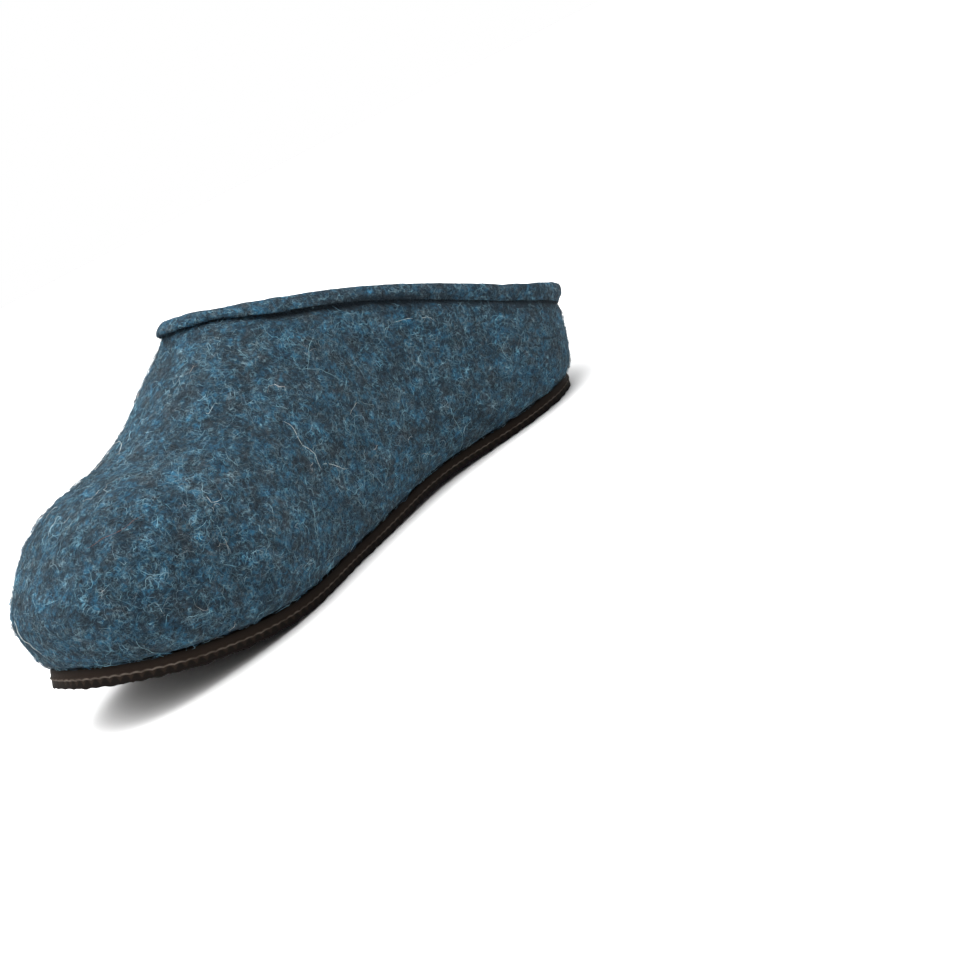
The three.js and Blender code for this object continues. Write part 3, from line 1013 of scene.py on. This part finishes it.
def fibre_tree():
    """Geometry nodes that lay curly fibres on a surface, as thin closed spindles."""
    t, given = new_tree("Wool Fibres", "GeometryNodeTree", FIBRE_INPUTS, ("Geometry", "Geometry"))
    place = t.add("GeometryNodeInputPosition").outputs[0]
    fibres = settled(t, given, curled(t, given, laid_fibres(t, given), place), place)
    t.finish(spindles(t, given, fibres), given["Material"])
    return t.tree


# Layers of fibres: name, kind, felt piece they lie on, its mask, share of the density, sweep of
# the arc, curl, size of the curl, lift, hold to the surface, points of a fibre and thickness
FIBRE_LAYERS = (
    ("nap_fibres", "nap", "felt_upper", "outside", 1, 2.4, 0.0014, 0.0026, 0.0006, 1, 6, 1.1),
    ("fuzz_fibres", "fuzz", "felt_upper", "outside", 1, 1.6, 0.001, 0.002, 0.0009, 1, 5, 0.7),
    ("curly_fibres", "curl", "felt_upper", "outside", 1, 3.8, 0.0018, 0.0032, 0.0007, 1, 9, 1.15),
    ("long_hairs", "long", "felt_upper", "outside", 1, 1.1, 0.0016, 0.009, 0.0005, 1, 12, 1.1),
    ("edge_fibres", "nap", "felt_upper", "edge", 1.4, 1.8, 0.0016, 0.003, 0.001, 0.35, 6, 0.9),
    ("inside_fibres", "nap", "felt_upper", "inside", 0.3, 2.2, 0.0012, 0.0028, 0.0004, 1, 5, 1.1),
    ("binding_fibres", "fuzz", "collar_binding_felt", "outside", 0.9, 1.8, 0.001, 0.002, 0.0006, 1, 5, 0.8),
    ("footbed_fibres", "nap", "footbed_felt", "outside", 0.4, 2.2, 0.0012, 0.0028, 0.0004, 1, 5, 1.1),
)


class SLIPPER_OT_fibres(bpy.types.Operator):
    """Lays loose wool fibres and hairs on the felt"""

    bl_idname = "slipper.fibres"
    bl_label = "Wool fibres"

    def execute(self, context):
        felt = context.scene.slipper_felt
        fibres = context.scene.slipper_fibres
        tree = fibre_tree()
        for step, row in enumerate(FIBRE_LAYERS):
            name, kind, surface, mask, share, sweep, curl, curl_size, lift, hold, points, thick = row
            under = bpy.data.objects[surface]
            material = fibre_material(name, felt, kind)
            values = {
                "Density": getattr(fibres, kind + "_density") * share,
                "Length": getattr(fibres, kind + "_length"),
                "Thickness": fibres.thickness * thick,
                "Sweep": sweep,
                "Curl": curl,
                "Curl Size": curl_size,
                "Lift": lift,
                "Hold": float(hold),
                "Mask": mask,
                "Points": points,
                "Seed": fibres.seed + 100 * step,
                "Material": material,
            }
            piece = run_nodes(under, tree, values, name)
            shade_smooth(piece)
            finish_piece(piece, None, material)
        return {"FINISHED"}


def new_material(name):
    material = bpy.data.materials.new(name)
    material.use_nodes = True
    nodes = material.node_tree.nodes
    return material, Tree(material.node_tree), nodes["Principled BSDF"]


def millimetres(t):
    """Object coordinates in millimetres."""
    place = t.add("ShaderNodeTexCoord").outputs["Object"]
    return t.add("ShaderNodeMapping", {"Vector": place, "Scale": (1000, 1000, 1000)}).outputs[0]


def wool_patches(t, given):
    """Mask of uneven patches of a size in millimetres, with soft edges."""
    cloud = t.noise(
        Vector=given["Vector"],
        W=given["Seed"],
        Scale=t.over(1.0, given["Size"]),
        Detail=5.0,
        Roughness=0.62,
        Distortion=given["Streak"],
    )
    low = t.minus(given["Level"], given["Softness"])
    high = t.plus(given["Level"], given["Softness"])
    return t.span(cloud, low, high, kind="SMOOTHSTEP")


def wool_strands(t, given):
    """Mask of thin curly strands, which are the level lines of a smooth field, broken into pieces."""
    field = t.noise(
        Vector=given["Vector"],
        W=given["Seed"],
        Scale=t.over(1.0, given["Size"]),
        Detail=1.0,
        Roughness=0.5,
        Distortion=1.2,
    )
    off = t.gap(field, 0.5)
    line = t.span(off, given["Width"], 0.0, kind="SMOOTHSTEP")
    chance = t.noise(
        Vector=given["Vector"],
        W=t.plus(given["Seed"], 40.0),
        Scale=t.over(0.7, given["Size"]),
        Detail=2.0,
    )
    start = t.minus(1.0, given["Amount"])
    end = t.minus(1.08, given["Amount"])
    return t.times(line, t.span(chance, start, end))


def wool_clouds(t, given):
    """Colour in darker and lighter, bluer and browner clouds."""
    cloud = t.noise(Vector=given["Vector"], Scale=0.13, Detail=3.0, Roughness=0.8)
    level = t.math("MULTIPLY_ADD", cloud, 3.0, -0.5)
    wool = t.noise("Color", Vector=given["Vector"], Scale=0.14, Detail=2.5, Roughness=0.7)
    tint = t.mix(t.span(wool, 0.36, 0.64), BROWN_TINT, BLUE_TINT)
    return t.vector("MULTIPLY", given["Color"], t.scaled(tint, level))


# Node groups that the materials of the wool share: what fills each, its inputs by kind, its output
WOOL_GROUPS = {
    "Wool Patches": (
        wool_patches,
        {"Vector": ("Vector",), "Float": ("Size", "Level", "Softness", "Streak", "Seed")},
        ("Mask", "Float"),
    ),
    "Wool Strands": (
        wool_strands,
        {"Vector": ("Vector",), "Float": ("Size", "Width", "Amount", "Seed")},
        ("Mask", "Float"),
    ),
    "Wool Clouds": (wool_clouds, {"Vector": ("Vector",), "Color": ("Color",)}, ("Color", "Color")),
}


def wool_group(name):
    """Shader node group, built when the first material needs it."""
    known = bpy.data.node_groups.get(name)
    if known:
        return known
    fill, inputs, output = WOOL_GROUPS[name]
    t, given = new_tree(name, "ShaderNodeTree", inputs, output)
    t.add("NodeGroupOutput", {output[0]: fill(t, given)})
    return t.tree


def grouped(t, name, inputs):
    return t.add("ShaderNodeGroup", inputs, node_tree=wool_group(name)).outputs[0]


def scaled_colour(colour, amount):
    return tuple(min(channel * amount, 1.0) for channel in colour)


def wool_mask(t, name, place, row, seed):
    """Mask of a node group with its row of values, of which the last is a seed to be shifted."""
    labels = WOOL_GROUPS[name][1]["Float"]
    values = dict(zip(labels, (*row[:-1], seed + row[-1])))
    return grouped(t, name, {"Vector": place, **values})


def patch_mask(t, place, patch, seed=0):
    return wool_mask(t, "Wool Patches", place, patch, seed)


def strand_mask(t, place, strand, seed):
    return wool_mask(t, "Wool Strands", place, strand, seed)


def clouded(t, place, colour):
    return grouped(t, "Wool Clouds", {"Vector": place, "Color": colour})


# Patches of wool: size, level, softness, streak and seed
BROAD_PATCHES = (9, 0.5, 0.1, 1.0, 2.4)
BLUE_TUFTS = (8, 0.54, 0.08, 1.0, 6.6)
GREY_FLECKS = (6, 0.53, 0.07, 1.5, 7.7)
DARK_SHADE = (3.2, 0.52, 0.09, 1.2, 12.9)
# Pores are darkened below the darkest wool, as painted shade between the fibres
PORES = (1.9, 0.5, 0.1, 0.6, 21.0)

# Strands of wool: size, width, amount and seed
STRANDS = (3.2, 0.04, 0.58, 1.0)
FINE_STRANDS = (1.8, 0.045, 0.57, 5.0)

# Felt of each slot: how light it is, and its seed
FELTS = {"felt": (1.0, 0), "binding_felt": (0.95, 5), "insole_felt": (1.15, 9)}


def felt_material(name, felt):
    """Mottled fulled wool: patches of four wools, curly strands, pores darkened as painted shade, painted
    shade in the groove under the binding and a soft bloom.
    """
    material, t, shader = new_material(name)
    place = millimetres(t)
    light, seed = FELTS[name]
    wools = (felt.deep, felt.steel, felt.bright, felt.grey, felt.pale)
    deep, steel, bright, grey, pale = (scaled_colour(wool, light) for wool in wools)
    strands = strand_mask(t, place, STRANDS, seed)
    finer = strand_mask(t, place, FINE_STRANDS, seed)
    pores = patch_mask(t, place, PORES, seed)
    broad = patch_mask(t, place, BROAD_PATCHES, seed)
    colour = t.mix(broad, scaled_colour(steel, 1.6), scaled_colour(steel, 0.45))
    layers = (
        (patch_mask(t, place, BLUE_TUFTS, seed), 0.85, bright),
        (patch_mask(t, place, GREY_FLECKS, seed), 0.85, grey),
        (patch_mask(t, place, DARK_SHADE, seed), 0.8, deep),
        (strands, 0.75, scaled_colour(pale, 0.8)),
        (finer, 0.5, scaled_colour(pale, 0.7)),
        # Pores darkened below the darkest wool, as painted shade between the fibres
        (pores, 0.7, scaled_colour(deep, 0.6)),
    )
    for mask, strength, wool in layers:
        colour = t.mix(t.times(mask, strength), colour, wool)
    # Painted shade: the felt darkens where the stored groove is high, along the seam and on the binding's
    # shaded lower roll
    groove_shade = t.times(t.attribute("groove"), 0.9)
    colour = t.mix(groove_shade, clouded(t, place, colour), scaled_colour(deep, 0.5))
    height = t.noise(Vector=place, Scale=0.9, Detail=6.0, Roughness=0.7)
    height = t.plus(height, t.times(strands, 0.25))
    height = t.plus(height, t.times(finer, 0.2))
    height = t.minus(height, t.times(pores, 0.35))
    bump = t.add("ShaderNodeBump", {"Height": height, "Strength": 1.0, "Distance": 0.0017})
    look = {
        "Base Color": colour,
        "Normal": bump.outputs[0],
        "Roughness": 0.95,
        "Specular IOR Level": 0.12,
        "Sheen Weight": 0.1,
        "Sheen Roughness": 0.5,
        "Sheen Tint": (0.45, 0.62, 0.75, 1),
    }
    t.fill(shader, look)
    return material


# Wools of the fibres of each kind, each from a share of the fibres upward
FIBRE_WOOLS = {
    "nap": ((0, "deep"), (0.25, "steel"), (0.42, "bright"), (0.55, "grey"), (0.7, "mist"), (0.9, "pale")),
    "fuzz": ((0, "mist"), (0.25, "steel"), (0.4, "pale"), (0.55, "bright"), (0.7, "deep"), (0.85, "grey")),
    "curl": (
        (0, "mist"),
        (0.28, "bright"),
        (0.4, "pale"),
        (0.62, "grey"),
        (0.74, "steel"),
        (0.87, "pale"),
        (0.975, "white"),
    ),
    "long": ((0, "pale"), (0.45, "white"), (0.8, "grey"), (0.93, "rust")),
}


def wool_colour(felt, wool):
    if wool == "mist":
        return scaled_colour(felt.pale, MIST_SHARE)
    if wool == "rust":
        return RUST
    return getattr(felt, wool)


def fibre_material(name, felt, kind):
    """Colours of single fibres, chosen fibre by fibre."""
    material, t, shader = new_material(name)
    ramp = t.add("ShaderNodeValToRGB", {"Fac": t.attribute("fibre")})
    wools = FIBRE_WOOLS[kind]
    ramp.color_ramp.interpolation = "CONSTANT"
    for start, wool in wools[2:]:
        ramp.color_ramp.elements.new(start)
    for element, (start, wool) in zip(ramp.color_ramp.elements, wools):
        element.position = start
        element.color = (*wool_colour(felt, wool), 1)
    colour = ramp.outputs[0]
    if kind != "long":
        place = millimetres(t)
        dark = t.times(patch_mask(t, place, BROAD_PATCHES), 0.75)
        blue = t.times(patch_mask(t, place, BLUE_TUFTS), 0.6)
        colour = t.mix(blue, t.mix(dark, colour, felt.deep), felt.bright)
        colour = clouded(t, place, colour)
    t.fill(shader, {"Base Color": colour, "Roughness": 0.6, "Specular IOR Level": 0.3})
    return material


def rubber_material(sole):
    """Matt brown rubber, with a painted highlight in a wavy line and painted shade in the hollows under it
    along the edge of the sheet.
    """
    material, t, shader = new_material("rubber")
    place = millimetres(t)
    cloud = t.noise(Vector=place, Scale=0.12, Detail=4.0)
    colour = t.mix(cloud, scaled_colour(sole.rubber, 0.75), scaled_colour(sole.rubber, 1.3))
    level = t.attribute("height")
    around = t.attribute("around")
    wave = t.math("ABSOLUTE", t.math("SINE", t.times(around, math.pi / SCALLOP)))
    # Painted highlight: a thin light wavy line along the lower edge of the side wall, patchy along its
    # length
    line = t.math("MULTIPLY_ADD", wave, HIGHLIGHT_WAVE, HIGHLIGHT_LEVEL)
    rim = t.span(t.gap(level, line), *HIGHLIGHT_FADE)
    patchy = t.span(t.noise(Vector=place, Scale=0.22, Detail=4.0), 0.35, 0.65)
    edge_highlight = t.times(rim, t.math("MULTIPLY_ADD", patchy, 0.7, 0.3))
    colour = t.mix(t.times(edge_highlight, 0.75), colour, sole.edge_highlight)
    # Painted shade: dark arcs in the hollows of the tread under the highlight line
    arch = t.math("MULTIPLY_ADD", wave, HOLLOW_ARCH, HOLLOW_LEVEL)
    hollow_shade = t.span(t.minus(arch, level), *HOLLOW_FADE)
    hollow_shade = t.times(hollow_shade, t.math("GREATER_THAN", around, WALL_START))
    colour = t.mix(t.times(hollow_shade, 0.9), colour, scaled_colour(sole.rubber, 0.2))
    shadow = t.times(t.span(level, *FELT_SHADE), 0.6)
    colour = t.mix(shadow, colour, scaled_colour(sole.rubber, 0.3))
    grain = t.noise(Vector=place, Scale=3.5, Detail=4.0, Roughness=0.65)
    bump = t.add("ShaderNodeBump", {"Height": grain, "Strength": 0.35, "Distance": 0.0003})
    rough = t.span(cloud, 0.0, 1.0, 0.6, 0.8)
    look = {"Base Color": colour, "Normal": bump.outputs[0], "Roughness": rough}
    t.fill(shader, {**look, "Specular IOR Level": 0.07})
    return material


def stage_floor(colour):
    """Wide pale sheet under the shoe."""
    corners = [(-1, -1, 0), (1, -1, 0), (1, 1, 0), (-1, 1, 0)]
    floor = new_object("floor", np.array(corners) * FLOOR_HALF / MM, [(0, 1, 2, 3)])
    material, t, shader = new_material("floor_paper")
    t.fill(shader, {"Base Color": (*colour, 1), "Roughness": 0.9, "Specular IOR Level": 0.1})
    floor.data.materials.append(material)


def stage_sky(scene, stage):
    """White light from all sides, brighter above the toe, and plain white for the camera."""
    world = bpy.data.worlds.new("studio")
    scene.world = world
    world.use_nodes = True
    t = Tree(world.node_tree)
    towards = t.add("ShaderNodeTexCoord").outputs["Generated"]
    facing = t.vector("DOT_PRODUCT", towards, Vector(SKY_BRIGHT_SIDE).normalized()[:], output=1)
    glow = t.math("POWER", t.math("MAXIMUM", facing, 0.0), GLOW_POWER)
    lit = t.math("MULTIPLY_ADD", glow, stage.sky_side, stage.sky)
    seen = t.add("ShaderNodeLightPath").outputs["Is Camera Ray"]
    sky = {"Color": (1, 1, 1, 1), "Strength": t.math("MAXIMUM", lit, seen)}
    t.fill(world.node_tree.nodes["Background"], sky)


def stage_key_light(power):
    data = bpy.data.lights.new("key_light", "AREA")
    data.shape = "DISK"
    data.size = KEY_SIZE
    data.energy = power
    lamp = linked("key_light", data)
    lamp.location = KEY_PLACE
    lamp.rotation_euler = (Vector(KEY_TARGET) - Vector(KEY_PLACE)).to_track_quat("-Z", "Y").to_euler()


def stage_camera(scene):
    data = bpy.data.cameras.new("camera")
    data.lens = CAMERA_LENS
    data.clip_start = 0.01
    camera = linked("camera", data)
    axes = Matrix((CAMERA_RIGHT, CAMERA_UP, CAMERA_BACK)).transposed()
    camera.matrix_world = Matrix.Translation(CAMERA_PLACE) @ axes.to_4x4()
    scene.camera = camera


class SLIPPER_OT_stage(bpy.types.Operator):
    """Sets up the pale floor, the soft lights and the camera"""

    bl_idname = "slipper.stage"
    bl_label = "Stage"

    def execute(self, context):
        stage = context.scene.slipper_stage
        stage_floor(stage.floor)
        stage_sky(context.scene, stage)
        stage_key_light(stage.key_power)
        stage_camera(context.scene)
        context.scene.view_settings.view_transform = "Standard"
        return {"FINISHED"}


STEPS = (
    SLIPPER_OT_stage,
    SLIPPER_OT_outsole,
    SLIPPER_OT_upper,
    SLIPPER_OT_binding,
    SLIPPER_OT_insole,
    SLIPPER_OT_fibres,
)
SETTINGS = {
    "slipper_felt": SlipperFeltSettings,
    "slipper_fibres": SlipperFibreSettings,
    "slipper_sole": SlipperSoleSettings,
    "slipper_stage": SlipperStageSettings,
}


class SLIPPER_PT_panel(bpy.types.Panel):
    """Sizes, colours and steps of the felt slipper"""

    bl_idname = "SLIPPER_PT_panel"
    bl_label = "Felt slipper"
    bl_space_type = "VIEW_3D"
    bl_region_type = "UI"
    bl_category = "Slipper"

    def draw(self, context):
        for name in SETTINGS:
            group = getattr(context.scene, name)
            box = self.layout.box()
            for key in group.bl_rna.properties.keys():
                if key not in ("rna_type", "name"):
                    box.prop(group, key)
        for step in STEPS:
            self.layout.operator(step.bl_idname)


CLASSES = (*SETTINGS.values(), *STEPS, SLIPPER_PT_panel)


def register():
    for each in CLASSES:
        bpy.utils.register_class(each)
    for name, group in SETTINGS.items():
        setattr(bpy.types.Scene, name, bpy.props.PointerProperty(type=group))


def unregister():
    for name in SETTINGS:
        delattr(bpy.types.Scene, name)
    for each in reversed(CLASSES):
        bpy.utils.unregister_class(each)


def main():
    register()
    for step in STEPS:
        family, action = step.bl_idname.split(".")
        getattr(getattr(bpy.ops, family), action)()


if __name__ == "__main__":
    main()
